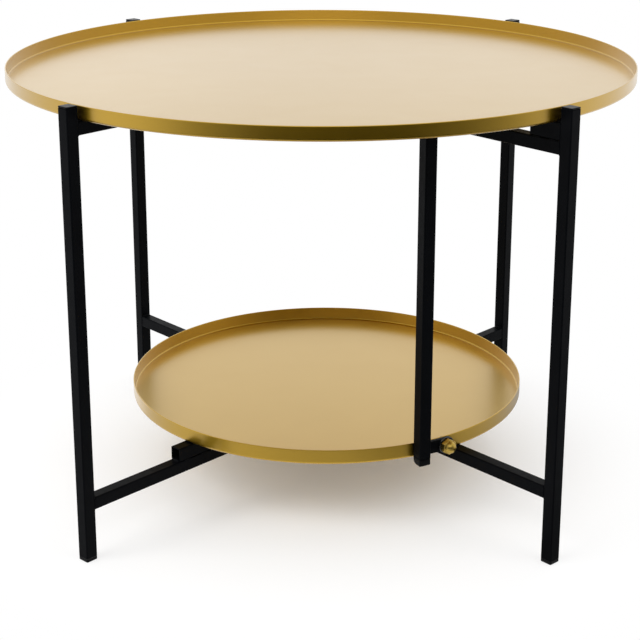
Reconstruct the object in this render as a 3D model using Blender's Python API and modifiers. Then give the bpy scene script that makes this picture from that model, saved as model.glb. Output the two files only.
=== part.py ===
"""Two-tier coffee table: two round metal trays on a folding frame of square tube.

Units are metres and +Z is up. The floor is at z = 0, the centre pivot is the Z axis and the front faces -Y.
The outer frame has the front-left and back-right legs, the inner frame the front-right and back-left ones.
"""

import math

import bmesh
import bpy
from mathutils import Matrix, Vector

# Trays
UPPER_TRAY_RADIUS = 0.300
UPPER_RIM_HEIGHT = 0.0131
LOWER_TRAY_RADIUS = 0.198
LOWER_RIM_HEIGHT = 0.0144
LOWER_TRAY_SHIFT_X = 0.006
LOWER_TRAY_SHIFT_Y = 0.013
TRAY_SHEET = 0.0012
TRAY_BEND_RADIUS = 0.0026
TRAY_EDGE_ROUND = 0.0004

# Frame tube
TUBE = 0.012
TUBE_WALL = 0.0012
TUBE_CORNER = 0.0012
OUTER_AZIMUTH = math.radians(43.2)
INNER_AZIMUTH = math.radians(42.0)
LEG_CLEARANCE = 0.0022
LEG_TOP_RISE = 0.0004
UPPER_SEAT = 0.4045
LOWER_RAIL_BOTTOM = 0.0488
UPPER_SPACE = 0.0036
LOWER_SPACE = 0.0012

# Short tubes that bring the rails level under the trays
LOWER_REST_LENGTH = 0.040
LOWER_REST_PROUD = 0.002
UPPER_REST_LENGTH = 0.032

# Plugs in the tube ends
FOOT_HEIGHT = 0.003
CAP_HEIGHT = 0.0015
PLUG_STEM = 0.008
PLUG_ROUND = 0.0007

# Centre pivots
PIVOT_BOLT_DIAMETER = 0.005
PIVOT_HEAD_DIAMETER = 0.0092
PIVOT_HEAD_HEIGHT = 0.0026
PIVOT_BOLT_END = 0.0015
PIVOT_SPACER_DIAMETER = 0.0115
PIVOT_WASHER_DIAMETER = 0.010
PIVOT_WASHER_THICKNESS = 0.001
PIVOT_NUT_FLATS = 0.008
PIVOT_NUT_HEIGHT = 0.005

# Stay between the lower rim and the inner frame
STAY_AZIMUTH = math.radians(29.0)
STAY_POST_OFFSET = 0.0138
STAY_POST_BOTTOM = 0.0696
STAY_PLUG_HEIGHT = 0.0065
STAY_PLUG_NOSE = 0.0055
LUG_THICKNESS = 0.005
LUG_HEIGHT = 0.012
LUG_REACH = 0.0212
STAY_BOLT_OFFSET = 0.0131
STAY_BOLT_DIAMETER = 0.008
STAY_BOLT_RISE = 0.0085
STAY_HEAD_DIAMETER = 0.0104
STAY_HEAD_HEIGHT = 0.002
STAY_WASHER_DIAMETER = 0.016
STAY_WASHER_THICKNESS = 0.0016
CAP_NUT_FLATS = 0.013
CAP_NUT_HEX_HEIGHT = 0.005
CAP_NUT_DOME_DIAMETER = 0.0118
CAP_NUT_HEIGHT = 0.0105
CAP_NUT_BORE_DEPTH = 0.0075

# Gap between touching pieces, length that a cutter runs past what it cuts, and mesh resolution
FIT_GAP = 0.0003
OVERCUT = 0.002
MERGE_DISTANCE = 0.00001
CORNER_SEGMENTS = 2
TRAY_STEPS = 96
FASTENER_STEPS = 24
ARC_STEPS = 3
SHARP_ANGLE = math.radians(35.0)

# Heights that follow from the sizes above
LOWER_SEAT = LOWER_RAIL_BOTTOM + 2 * TUBE + LOWER_SPACE
OUTER_LOWER_TOP = LOWER_RAIL_BOTTOM + TUBE
INNER_LOWER_BOTTOM = LOWER_SEAT - TUBE
OUTER_UPPER_BOTTOM = UPPER_SEAT - TUBE
INNER_UPPER_TOP = OUTER_UPPER_BOTTOM - UPPER_SPACE
INNER_UPPER_BOTTOM = INNER_UPPER_TOP - TUBE
UPPER_TRAY_BOTTOM = UPPER_SEAT + FIT_GAP
LOWER_TRAY_BOTTOM = LOWER_SEAT + FIT_GAP
LEG_TOP = UPPER_TRAY_BOTTOM + UPPER_RIM_HEIGHT + LEG_TOP_RISE

# Places in plan
LEG_RADIUS = UPPER_TRAY_RADIUS + LEG_CLEARANCE + TUBE / 2
RAIL_LENGTH = 2 * (LEG_RADIUS - TUBE / 2 - FIT_GAP)
FRONT_ANGLE = math.radians(-90.0)
OUTER_ANGLE = FRONT_ANGLE - OUTER_AZIMUTH
INNER_ANGLE = FRONT_ANGLE + INNER_AZIMUTH
STAY_ANGLE = FRONT_ANGLE + STAY_AZIMUTH
STAY_FACE = LOWER_TRAY_RADIUS + FIT_GAP
STAY_BOLT_HEIGHT = LOWER_TRAY_BOTTOM + STAY_BOLT_RISE
ALONG_X = (0.0, math.radians(90.0), 0.0)


def clear_scene():
    """Remove every object that is already in the scene."""
    for obj in list(bpy.data.objects):
        bpy.data.objects.remove(obj, do_unlink=True)


def new_collection(name):
    """Add a collection to the scene."""
    collection = bpy.data.collections.new(name)
    bpy.context.scene.collection.children.link(collection)
    return collection


def new_material(name, color, roughness, metallic):
    """Make a Principled material."""
    material = bpy.data.materials.new(name)
    material.use_nodes = True
    shader = material.node_tree.nodes["Principled BSDF"]
    shader.inputs["Base Color"].default_value = (*color, 1.0)
    shader.inputs["Roughness"].default_value = roughness
    shader.inputs["Metallic"].default_value = metallic
    return material


clear_scene()
TABLE = new_collection("two_tier_coffee_table")
CUTTERS = new_collection("cutters")
BLACK_PAINT = new_material("black_powder_coat", (0.012, 0.013, 0.016), 0.55, 0.0)
BLACK_PLASTIC = new_material("black_plastic", (0.015, 0.015, 0.017), 0.5, 0.0)
GOLD_PAINT = new_material("gold_tray_finish", (0.62, 0.42, 0.13), 0.35, 1.0)
BRASS = new_material("brass", (0.66, 0.45, 0.12), 0.2, 1.0)
STEEL = new_material("zinc_plated_steel", (0.09, 0.09, 0.095), 0.35, 1.0)


def new_empty(name, angle, location=(0.0, 0.0, 0.0)):
    """Add an empty that carries pieces, turned about the vertical."""
    empty = bpy.data.objects.new(name, None)
    empty.location = location
    empty.rotation_euler = (0.0, 0.0, angle)
    TABLE.objects.link(empty)
    return empty


def keep_place(obj, parent, parent_angle):
    """Parent an object to a turned empty at the origin and leave it where it stands."""
    obj.parent = parent
    obj.matrix_parent_inverse = Matrix.Rotation(-parent_angle, 4, "Z")


def place(obj, parent, location, rotation=(0.0, 0.0, 0.0)):
    """Put an object at a place in its parent's frame."""
    obj.parent = parent
    obj.location = location
    obj.rotation_euler = rotation


def piece(name, mesh, material):
    """Add a piece of the table."""
    obj = bpy.data.objects.new(name, mesh)
    mesh.materials.append(material)
    TABLE.objects.link(obj)
    return obj


def cutter(name, mesh):
    """Add a shape that only cuts other pieces."""
    obj = bpy.data.objects.new(name, mesh)
    obj.hide_render = True
    obj.display_type = "WIRE"
    CUTTERS.objects.link(obj)
    return obj


def combine(obj, other, operation="DIFFERENCE"):
    """Cut a piece with another shape, or join the two."""
    modifier = obj.modifiers.new(other.name, "BOOLEAN")
    modifier.operation = operation
    modifier.solver = "EXACT"
    modifier.object = other


def mesh_from(bm, name):
    """Turn a bmesh into a mesh."""
    mesh = bpy.data.meshes.new(name)
    bm.to_mesh(mesh)
    bm.free()
    return mesh


def box_mesh(name, size):
    """Make a box centred on its origin."""
    bm = bmesh.new()
    bmesh.ops.create_cube(bm, size=1.0)
    bmesh.ops.scale(bm, vec=size, verts=bm.verts)
    return mesh_from(bm, name)


def rounded_bar_mesh(name, size, axis, radius):
    """Make a bar whose long edges, those along one axis, are rounded."""
    bm = bmesh.new()
    bmesh.ops.create_cube(bm, size=1.0)
    bmesh.ops.scale(bm, vec=size, verts=bm.verts)
    long_edges = [e for e in bm.edges if abs((e.verts[0].co - e.verts[1].co)[axis]) > size[axis] / 2]
    bmesh.ops.bevel(bm, geom=long_edges, offset=radius, segments=CORNER_SEGMENTS, profile=0.5, affect="EDGES")
    return mesh_from(bm, name)


def tube(name, size, axis, material=BLACK_PAINT):
    """Make a straight rectangular tube, open at both ends, along one axis."""
    obj = piece(name, rounded_bar_mesh(name, size, axis, TUBE_CORNER), material)
    bore_size = [side - 2 * TUBE_WALL for side in size]
    bore_size[axis] = size[axis] + 2 * OVERCUT
    bore = cutter(name + "_bore", box_mesh(name + "_bore", bore_size))
    bore.parent = obj
    combine(obj, bore)
    return obj


def plug(name, head_height, nose=0.0):
    """Make a tube plug: a square head below the origin, whose lower -X edge may be a round nose, and a stem."""
    half = TUBE / 2
    outline = [(half, 0.0), (half, -head_height)]
    if nose:
        outline += arc((nose - half, nose - head_height), nose, 270.0, 180.0)
    else:
        outline.append((-half, -head_height))
    outline.append((-half, 0.0))

    bm = bmesh.new()
    profile = bm.faces.new([bm.verts.new((x, -half, z)) for x, z in outline])
    swept = bmesh.ops.extrude_face_region(bm, geom=[profile])["geom"]
    bmesh.ops.translate(bm, vec=(0.0, TUBE, 0.0), verts=[v for v in swept if isinstance(v, bmesh.types.BMVert)])
    bmesh.ops.recalc_face_normals(bm, faces=bm.faces)
    seat = max(bm.faces, key=lambda face: face.calc_center_median().z)
    shown_edges = [e for e in bm.edges if seat not in e.link_faces and e.calc_face_angle() > SHARP_ANGLE]
    bmesh.ops.bevel(bm, geom=shown_edges, offset=PLUG_ROUND, segments=CORNER_SEGMENTS, profile=0.5, affect="EDGES")
    obj = piece(name, mesh_from(bm, name), BLACK_PLASTIC)

    stem_side = TUBE - 2 * TUBE_WALL - 2 * FIT_GAP
    stem_root = head_height / 2
    stem = cutter(f"{name}_stem", box_mesh(f"{name}_stem", (stem_side, stem_side, PLUG_STEM + stem_root)))
    place(stem, obj, (0.0, 0.0, (PLUG_STEM - stem_root) / 2))
    combine(obj, stem, "UNION")
    return obj


def profile_mesh(name, points, closed):
    """Make a chain of edges in the XZ plane, listed down its outer side."""
    count = len(points)
    last = count if closed else count - 1
    edges = [(i, (i + 1) % count) for i in range(last)]
    mesh = bpy.data.meshes.new(name)
    mesh.from_pydata([(x, 0.0, z) for x, z in points], edges, [])
    return mesh


def turn(obj, steps):
    """Sweep an object's profile round its Z axis."""
    modifier = obj.modifiers.new("turn", "SCREW")
    modifier.axis = "Z"
    modifier.angle = math.tau
    modifier.steps = steps
    modifier.render_steps = steps
    modifier.use_merge_vertices = True
    modifier.merge_threshold = MERGE_DISTANCE
    modifier.use_smooth_shade = True
    return obj


def ring(name, outer_diameter, inner_diameter, thickness, material):
    """Make a washer that stands on its origin."""
    outer = outer_diameter / 2
    inner = inner_diameter / 2
    points = [(outer, thickness), (outer, 0.0), (inner, 0.0), (inner, thickness)]
    return turn(piece(name, profile_mesh(name, points, True), material), FASTENER_STEPS)


def hexagon_mesh(name, flats, height):
    """Make a hexagonal prism that stands on its origin, with a corner on the X axis."""
    bm = bmesh.new()
    radius = flats / 2 / math.cos(math.radians(30.0))
    bmesh.ops.create_cone(
        bm, cap_ends=True, segments=6, radius1=radius, radius2=radius, depth=height,
        matrix=Matrix.Translation((0.0, 0.0, height / 2)) @ Matrix.Rotation(math.radians(90.0), 4, "Z"),
    )
    return mesh_from(bm, name)


def arc(center, radius, start, end):
    """List the points of an arc in the XZ plane, from one angle to another, in degrees."""
    points = []
    for i in range(ARC_STEPS + 1):
        angle = math.radians(start + (end - start) * i / ARC_STEPS)
        points.append((center[0] + radius * math.cos(angle), center[1] + radius * math.sin(angle)))
    return points


def tray(name, radius, rim_height):
    """Make a round tray of bent sheet that stands on its origin."""
    inner = radius - TRAY_SHEET
    bend_center = (radius - TRAY_BEND_RADIUS, TRAY_BEND_RADIUS)
    points = [(0.0, TRAY_SHEET)]
    points += arc(bend_center, TRAY_BEND_RADIUS - TRAY_SHEET, -90.0, 0.0)
    points.append((inner, rim_height - TRAY_EDGE_ROUND))
    points.append((inner + TRAY_EDGE_ROUND, rim_height))
    points.append((radius - TRAY_EDGE_ROUND, rim_height))
    points.append((radius, rim_height - TRAY_EDGE_ROUND))
    points += arc(bend_center, TRAY_BEND_RADIUS, 0.0, -90.0)
    points.append((0.0, 0.0))
    return turn(piece(name, profile_mesh(name, points, False), GOLD_PAINT), TRAY_STEPS)


def add_frame(side, carrier, lower_bottom, upper_bottom):
    """Make one frame: two legs with their plugs, and two rails. Return the rails."""
    leg_bottom = FOOT_HEIGHT + FIT_GAP
    leg_top = LEG_TOP - CAP_HEIGHT - FIT_GAP
    for end, direction in (("front", 1), ("back", -1)):
        x = direction * LEG_RADIUS
        leg = tube(f"{side}_{end}_leg", (TUBE, TUBE, leg_top - leg_bottom), 2)
        place(leg, carrier, (x, 0.0, (leg_bottom + leg_top) / 2))
        foot = plug(f"{side}_{end}_foot", FOOT_HEIGHT)
        place(foot, carrier, (x, 0.0, FOOT_HEIGHT))
        cap = plug(f"{side}_{end}_cap", CAP_HEIGHT)
        place(cap, carrier, (x, 0.0, LEG_TOP - CAP_HEIGHT), (math.radians(180.0), 0.0, 0.0))
    rails = []
    for level, bottom in (("lower", lower_bottom), ("upper", upper_bottom)):
        rail = tube(f"{side}_{level}_rail", (RAIL_LENGTH, TUBE, TUBE), 0)
        place(rail, carrier, (0.0, 0.0, bottom + TUBE / 2))
        rails.append(rail)
    return rails


def add_rests(side, carrier, length, outer_end, rail_top, seat):
    """Make the short tubes on a rail that bring it level with the other frame's rail."""
    height = seat - rail_top - FIT_GAP
    for end, direction in (("front", 1), ("back", -1)):
        rest = tube(f"{side}_{end}_rest", (length, TUBE, height), 0)
        place(rest, carrier, (direction * (outer_end - length / 2), 0.0, seat - height / 2))


def pivot_profile(length, grow):
    """List the outline of a countersunk bolt that hangs from its origin, grown all round for its hole."""
    shank = PIVOT_BOLT_DIAMETER / 2 + grow
    head = PIVOT_HEAD_DIAMETER / 2 + grow
    top = OVERCUT if grow else 0.0
    outline = [(0.0, top), (head, top)]
    if grow:
        outline.append((head, 0.0))
    return outline + [(shank, -PIVOT_HEAD_HEIGHT), (shank, -length), (0.0, -length)]


def add_pivot(level, carrier, top, upper_tube_bottom, lower_tube_top, rails):
    """Make the bolt, spacer, washer and nut where two rails cross, and drill the rails for them."""
    under = lower_tube_top - TUBE
    hole_diameter = PIVOT_BOLT_DIAMETER + 2 * FIT_GAP
    washer_bottom = under - FIT_GAP - PIVOT_WASHER_THICKNESS
    nut_bottom = washer_bottom - FIT_GAP - PIVOT_NUT_HEIGHT
    length = top - nut_bottom + PIVOT_BOLT_END
    name = f"{level}_pivot"

    bolt = turn(piece(f"{name}_bolt", profile_mesh(f"{name}_bolt", pivot_profile(length, 0.0), False), STEEL),
                FASTENER_STEPS)
    place(bolt, carrier, (0.0, 0.0, top))
    hole_mesh = profile_mesh(f"{name}_hole", pivot_profile(length + OVERCUT, FIT_GAP), False)
    hole = turn(cutter(f"{name}_hole", hole_mesh), FASTENER_STEPS)
    place(hole, carrier, (0.0, 0.0, top))
    for rail in rails:
        combine(rail, hole)

    spacer_height = upper_tube_bottom - lower_tube_top - 2 * FIT_GAP
    spacer = ring(f"{name}_spacer", PIVOT_SPACER_DIAMETER, hole_diameter, spacer_height, BLACK_PLASTIC)
    place(spacer, carrier, (0.0, 0.0, lower_tube_top + FIT_GAP))
    washer = ring(f"{name}_washer", PIVOT_WASHER_DIAMETER, hole_diameter, PIVOT_WASHER_THICKNESS, STEEL)
    place(washer, carrier, (0.0, 0.0, washer_bottom))
    nut = piece(f"{name}_nut", hexagon_mesh(f"{name}_nut", PIVOT_NUT_FLATS, PIVOT_NUT_HEIGHT), STEEL)
    place(nut, carrier, (0.0, 0.0, nut_bottom))
    combine(nut, hole)


def plan_cross(a, b):
    """Give the cross product of two plan vectors."""
    return a.x * b.y - a.y * b.x


def stay_arm_reach():
    """Give how far the stay's upper arm runs from the post's centre to cover the inner rail."""
    outward = Vector((math.cos(STAY_ANGLE), math.sin(STAY_ANGLE)))
    along = Vector((-outward.y, outward.x))
    rail = Vector((math.cos(INNER_ANGLE), math.sin(INNER_ANGLE)))
    center = Vector((LOWER_TRAY_SHIFT_X, LOWER_TRAY_SHIFT_Y))
    post = center + outward * (STAY_FACE + TUBE / 2) - along * STAY_POST_OFFSET
    sine = plan_cross(rail, along)
    to_rail = -plan_cross(rail, post) / sine
    return to_rail + TUBE / 2 * (1 + abs(rail.dot(along))) / abs(sine)


def cap_nut(name, hole_diameter):
    """Make a hexagonal nut with a domed cap, along Z, open at its origin."""
    obj = piece(name, hexagon_mesh(name, CAP_NUT_FLATS, CAP_NUT_HEX_HEIGHT), BRASS)
    dome_radius = CAP_NUT_DOME_DIAMETER / 2
    dome_base = CAP_NUT_HEIGHT - dome_radius
    points = arc((0.0, dome_base), dome_radius, 90.0, 0.0)
    points += [(dome_radius, CAP_NUT_HEX_HEIGHT / 2), (0.0, CAP_NUT_HEX_HEIGHT / 2)]
    dome = turn(cutter(f"{name}_dome", profile_mesh(f"{name}_dome", points, False)), FASTENER_STEPS)
    bore_points = [(0.0, CAP_NUT_BORE_DEPTH), (hole_diameter / 2, CAP_NUT_BORE_DEPTH),
                   (hole_diameter / 2, -OVERCUT), (0.0, -OVERCUT)]
    bore = turn(cutter(f"{name}_bore", profile_mesh(f"{name}_bore", bore_points, False)), FASTENER_STEPS)
    for shape, operation in ((dome, "UNION"), (bore, "DIFFERENCE")):
        shape.parent = obj
        combine(obj, shape, operation)
    return obj


def add_stay_fastener(carrier, lug, lower_tray):
    """Make the bolt, washer and cap nut that hold the lug to the lower rim, and drill both for them."""
    hole_diameter = STAY_BOLT_DIAMETER + 2 * FIT_GAP
    head_edge = STAY_BOLT_OFFSET + STAY_HEAD_DIAMETER / 2
    head_seat = math.sqrt((LOWER_TRAY_RADIUS - TRAY_SHEET) ** 2 - head_edge ** 2) - FIT_GAP
    washer_seat = STAY_FACE + LUG_THICKNESS + FIT_GAP
    nut_seat = washer_seat + STAY_WASHER_THICKNESS + FIT_GAP
    shank_length = nut_seat + CAP_NUT_BORE_DEPTH - FIT_GAP - head_seat

    head = STAY_HEAD_DIAMETER / 2
    shank = STAY_BOLT_DIAMETER / 2
    points = [(0.0, shank_length), (shank, shank_length), (shank, 0.0), (head, 0.0),
              (head, -STAY_HEAD_HEIGHT), (0.0, -STAY_HEAD_HEIGHT)]
    bolt = turn(piece("stay_bolt", profile_mesh("stay_bolt", points, False), STEEL), FASTENER_STEPS)
    place(bolt, carrier, (head_seat, STAY_BOLT_OFFSET, STAY_BOLT_HEIGHT), ALONG_X)

    half = hole_diameter / 2
    reach = STAY_FACE + LUG_THICKNESS - head_seat + OVERCUT
    hole_points = [(0.0, reach), (half, reach), (half, -OVERCUT), (0.0, -OVERCUT)]
    hole = turn(cutter("stay_bolt_hole", profile_mesh("stay_bolt_hole", hole_points, False)), FASTENER_STEPS)
    place(hole, carrier, (head_seat, STAY_BOLT_OFFSET, STAY_BOLT_HEIGHT), ALONG_X)
    combine(lug, hole)
    combine(lower_tray, hole)

    washer = ring("stay_washer", STAY_WASHER_DIAMETER, hole_diameter, STAY_WASHER_THICKNESS, STEEL)
    place(washer, carrier, (washer_seat, STAY_BOLT_OFFSET, STAY_BOLT_HEIGHT), ALONG_X)
    nut = cap_nut("stay_cap_nut", hole_diameter)
    place(nut, carrier, (nut_seat, STAY_BOLT_OFFSET, STAY_BOLT_HEIGHT), ALONG_X)


def add_stay(carrier, lower_tray):
    """Make the post beside the lower rim, its lug and its arm to the inner upper rail."""
    post_x = STAY_FACE + TUBE / 2
    arm_bottom = INNER_UPPER_TOP + FIT_GAP
    post_bottom = STAY_POST_BOTTOM + STAY_PLUG_HEIGHT + FIT_GAP
    post_top = arm_bottom + TUBE
    post = tube("stay_post", (TUBE, TUBE, post_top - post_bottom), 2)
    place(post, carrier, (post_x, -STAY_POST_OFFSET, (post_bottom + post_top) / 2))
    post_plug = plug("stay_post_plug", STAY_PLUG_HEIGHT, STAY_PLUG_NOSE)
    place(post_plug, carrier, (post_x, -STAY_POST_OFFSET, STAY_POST_BOTTOM + STAY_PLUG_HEIGHT))

    side = -STAY_POST_OFFSET + TUBE / 2 + FIT_GAP
    arm_end = -STAY_POST_OFFSET + stay_arm_reach()
    arm = tube("stay_upper_arm", (TUBE, arm_end - side, TUBE), 1)
    place(arm, carrier, (post_x, (side + arm_end) / 2, arm_bottom + TUBE / 2))

    lug = piece("stay_lug", box_mesh("stay_lug", (LUG_THICKNESS, LUG_REACH - side, LUG_HEIGHT)), BLACK_PAINT)
    place(lug, carrier, (STAY_FACE + LUG_THICKNESS / 2, (side + LUG_REACH) / 2, STAY_BOLT_HEIGHT))
    add_stay_fastener(carrier, lug, lower_tray)


def shade_round_edges():
    """Shade the pieces smooth across small angles only."""
    for obj in TABLE.objects:
        if obj.type == "MESH":
            obj.data.shade_smooth()
            obj.data.set_sharp_from_angle(angle=SHARP_ANGLE)


def build_table():
    """Make the whole table."""
    outer_frame = new_empty("outer_frame", OUTER_ANGLE)
    inner_frame = new_empty("inner_frame", INNER_ANGLE)
    stay = new_empty("stay", STAY_ANGLE, (LOWER_TRAY_SHIFT_X, LOWER_TRAY_SHIFT_Y, 0.0))
    keep_place(stay, inner_frame, INNER_ANGLE)

    outer_lower, outer_upper = add_frame("outer", outer_frame, LOWER_RAIL_BOTTOM, OUTER_UPPER_BOTTOM)
    inner_lower, inner_upper = add_frame("inner", inner_frame, INNER_LOWER_BOTTOM, INNER_UPPER_BOTTOM)
    lower_rest_end = LOWER_TRAY_RADIUS + LOWER_REST_PROUD
    add_rests("outer", outer_frame, LOWER_REST_LENGTH, lower_rest_end, OUTER_LOWER_TOP, LOWER_SEAT)
    add_rests("inner", inner_frame, UPPER_REST_LENGTH, RAIL_LENGTH / 2, INNER_UPPER_TOP, UPPER_SEAT)
    add_pivot("upper", outer_frame, UPPER_SEAT, OUTER_UPPER_BOTTOM, INNER_UPPER_TOP, (outer_upper, inner_upper))
    add_pivot("lower", outer_frame, LOWER_SEAT, INNER_LOWER_BOTTOM, OUTER_LOWER_TOP, (inner_lower, outer_lower))

    upper_tray = tray("upper_tray", UPPER_TRAY_RADIUS, UPPER_RIM_HEIGHT)
    upper_tray.location = (0.0, 0.0, UPPER_TRAY_BOTTOM)
    lower_tray = tray("lower_tray", LOWER_TRAY_RADIUS, LOWER_RIM_HEIGHT)
    lower_tray.location = (LOWER_TRAY_SHIFT_X, LOWER_TRAY_SHIFT_Y, LOWER_TRAY_BOTTOM)
    keep_place(lower_tray, inner_frame, INNER_ANGLE)
    add_stay(stay, lower_tray)
    shade_round_edges()


build_table()
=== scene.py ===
"""Looks of the two-tier coffee table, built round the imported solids.

Units are metres, +Z is up and the front of the table faces -Y.
Each piece is a finer form of the solid that it stands for.
"""

import math

import bmesh
import bpy
from mathutils import Matrix, Vector


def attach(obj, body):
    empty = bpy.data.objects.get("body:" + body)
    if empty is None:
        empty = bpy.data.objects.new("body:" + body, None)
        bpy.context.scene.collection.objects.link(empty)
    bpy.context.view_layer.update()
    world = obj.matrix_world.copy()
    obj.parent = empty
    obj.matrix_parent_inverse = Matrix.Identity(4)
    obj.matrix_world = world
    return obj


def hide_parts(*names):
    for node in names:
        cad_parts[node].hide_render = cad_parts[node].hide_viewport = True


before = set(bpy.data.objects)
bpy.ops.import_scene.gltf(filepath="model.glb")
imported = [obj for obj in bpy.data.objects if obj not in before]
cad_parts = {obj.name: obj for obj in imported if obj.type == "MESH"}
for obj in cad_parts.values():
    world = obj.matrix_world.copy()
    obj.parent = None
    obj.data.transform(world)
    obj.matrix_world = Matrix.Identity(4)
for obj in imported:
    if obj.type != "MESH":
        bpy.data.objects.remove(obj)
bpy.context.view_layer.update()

# Gap between touching pieces and mesh resolution
FIT_GAP = 0.0003
TRAY_STEPS = 288
ROUND_STEPS = 72
CORNER_STEPS = 5
ARC_STEPS = 8
SHARP_ANGLE = math.radians(35.0)
SUPPORT = 0.0003
POLE_RADIUS = 0.00001

# Trays
UPPER_TRAY_RADIUS = 0.300
UPPER_TRAY_BOTTOM = 0.4048
UPPER_RIM_HEIGHT = 0.0131
LOWER_TRAY_RADIUS = 0.198
LOWER_TRAY_BOTTOM = 0.0743
LOWER_RIM_HEIGHT = 0.0144
LOWER_TRAY_SHIFT_X = 0.006
LOWER_TRAY_SHIFT_Y = 0.013
TRAY_SHEET = 0.0012
TRAY_BEND_RADIUS = 0.0026
TRAY_FLOOR_PARTS = (0.0, 0.02, 0.1, 0.25, 0.5, 0.75, 0.92)
TRAY_FLOOR_MARGIN = 0.002
TRAY_LIP_STEPS = 10

# Frame tube
TUBE = 0.012
TUBE_WALL = 0.0012
TUBE_CORNER = 0.0012
TUBE_END_ROUND = 0.00025
BORE_CORNER = 0.0003
LEG_RADIUS = 0.3082
RAIL_LENGTH = 0.6038
LEG_BOTTOM = 0.0033
LEG_TOP = 0.4165
OUTER_ANGLE = math.radians(-133.2)
INNER_ANGLE = math.radians(-48.0)
OUTER_LOWER_BOTTOM = 0.0488
OUTER_LOWER_TOP = 0.0608
INNER_LOWER_BOTTOM = 0.0620
LOWER_SEAT = 0.0740
INNER_UPPER_BOTTOM = 0.3769
INNER_UPPER_TOP = 0.3889
OUTER_UPPER_BOTTOM = 0.3925
UPPER_SEAT = 0.4045
LOWER_REST_LENGTH = 0.040
LOWER_REST_END = 0.200
UPPER_REST_LENGTH = 0.032

# Plugs in the tube ends
TABLE_TOP = 0.4183
FOOT_HEIGHT = 0.003
CAP_HEIGHT = 0.0015
PLUG_ROUND = 0.0007
PLUG_CORNER = 0.0013
PLUG_CORNER_STEPS = 4
PLUG_FLAT_INSET = 0.002
PLUG_SEAT_EDGE = 0.0002
STEM_LENGTH = 0.008
STEM_INSET = TUBE_WALL + FIT_GAP
STEM_ROOT = 0.002
STEM_TIP_LENGTH = 0.0006
STEM_TIP_INSET = 0.0009
RIB_PLACES = (0.0015, 0.0035, 0.0055)
RIB_HALF_WIDTH = 0.0004
RIB_DEPTH = 0.0003

# Hexagons, washers, threads and holes
HEX_CHAMFER = math.radians(28.0)
HEX_CHAMFER_STEPS = 5
SOCKET_OVERRUN = 0.001
SOCKET_POINT = 0.2
NUT_FACE = 0.95
NUT_BORE_EDGE = 0.0004
WASHER_EDGE = 0.25
WASHER_EDGE_STEPS = 4
HOLE_OVERRUN = 0.002
# Each point of a thread's turn: share of its depth, share of its pitch
THREAD_TURN = ((1.0, 0.4), (1.0, 0.5), (0.0, 0.9), (0.0, 1.0))

# Centre pivots
PIVOT_BOLT_RADIUS = 0.0025
PIVOT_HEAD_RADIUS = 0.0046
PIVOT_HEAD_HEIGHT = 0.0026
# Each point of the head's edge: step out from its radius, height
PIVOT_HEAD_EDGE = ((-0.0003, 0.0), (0.0, -0.0002), (0.0, -0.0004))
PIVOT_NECK_WIDTH = 0.0002
PIVOT_NECK_LENGTH = 0.0004
PIVOT_SOCKET_FLATS = 0.003
PIVOT_SOCKET_DEPTH = 0.0016
PIVOT_SPACER_RADIUS = 0.00575
PIVOT_WASHER_RADIUS = 0.005
PIVOT_WASHER_THICKNESS = 0.001
PIVOT_NUT_FLATS = 0.008
PIVOT_NUT_HEIGHT = 0.005
PIVOT_BOLT_END = 0.0015
PIVOT_THREAD_LENGTH = 0.009
PIVOT_THREAD_TURNS = 10
PIVOT_THREAD_PITCH = 0.0008
PIVOT_THREAD_DEPTH = 0.0004
PIVOT_TIP_INSET = 0.0005

# Stay between the lower rim and the inner frame
STAY_BODY = "inner_frame"
STAY_ANGLE = math.radians(-61.0)
STAY_FACE = 0.1983
STAY_POST_OFFSET = 0.0138
STAY_POST_X = STAY_FACE + TUBE / 2
STAY_SIDE = -STAY_POST_OFFSET + TUBE / 2 + FIT_GAP
STAY_POST_BOTTOM = 0.0696
STAY_PLUG_HEIGHT = 0.0065
STAY_PLUG_NOSE = 0.0055
STAY_NOSE_STEPS = 12
STAY_ARM_BOTTOM = 0.3892
LUG_THICKNESS = 0.005
LUG_HEIGHT = 0.012
LUG_REACH = 0.0212
LUG_EDGE_ROUND = 0.0007
LUG_EDGE_MIDDLE = 0.3
LUG_TIP_ROUND = 0.0035
LUG_TIP_STEPS = 6
STAY_BOLT_OFFSET = 0.0131
STAY_BOLT_RADIUS = 0.004
STAY_BOLT_HEIGHT = 0.0828
STAY_BOLT_END = 0.001
STAY_HOLE_DEPTH = 0.012
STAY_HEAD_RADIUS = 0.0052
STAY_HEAD_HEIGHT = 0.002
# Each point of the button head: share of its radius, share of its height
STAY_HEAD_OUTLINE = ((0.0, 1.0), (0.55, 1.0), (0.78, 0.93), (0.92, 0.72), (1.0, 0.38))
STAY_HEAD_EDGE = 0.0002
STAY_NECK_ROUND = 0.0003
STAY_THREAD_START = 0.0075
STAY_THREAD_END = 0.0006
STAY_THREAD_PITCH = 0.00125
STAY_THREAD_DEPTH = 0.0005
STAY_TIP_INSET = 0.0007
STAY_SOCKET_FLATS = 0.004
STAY_SOCKET_DEPTH = 0.0012
STAY_WASHER_RADIUS = 0.008
STAY_WASHER_THICKNESS = 0.0016
CAP_NUT_FLATS = 0.013
CAP_NUT_HEX_HEIGHT = 0.005
CAP_NUT_BOTTOM_FACE = 0.96
CAP_NUT_TOP_FACE = 0.97
CAP_NUT_DOME_RADIUS = 0.0059
CAP_NUT_DOME_STEPS = 12
CAP_NUT_FOOT_WIDTH = 0.0002
CAP_NUT_FOOT_HEIGHT = 0.0003
CAP_NUT_HEIGHT = 0.0105
CAP_NUT_BORE_DEPTH = 0.0075
CAP_NUT_BORE_POINT = 0.001
CAP_NUT_BORE_EDGE = 0.0006

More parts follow.
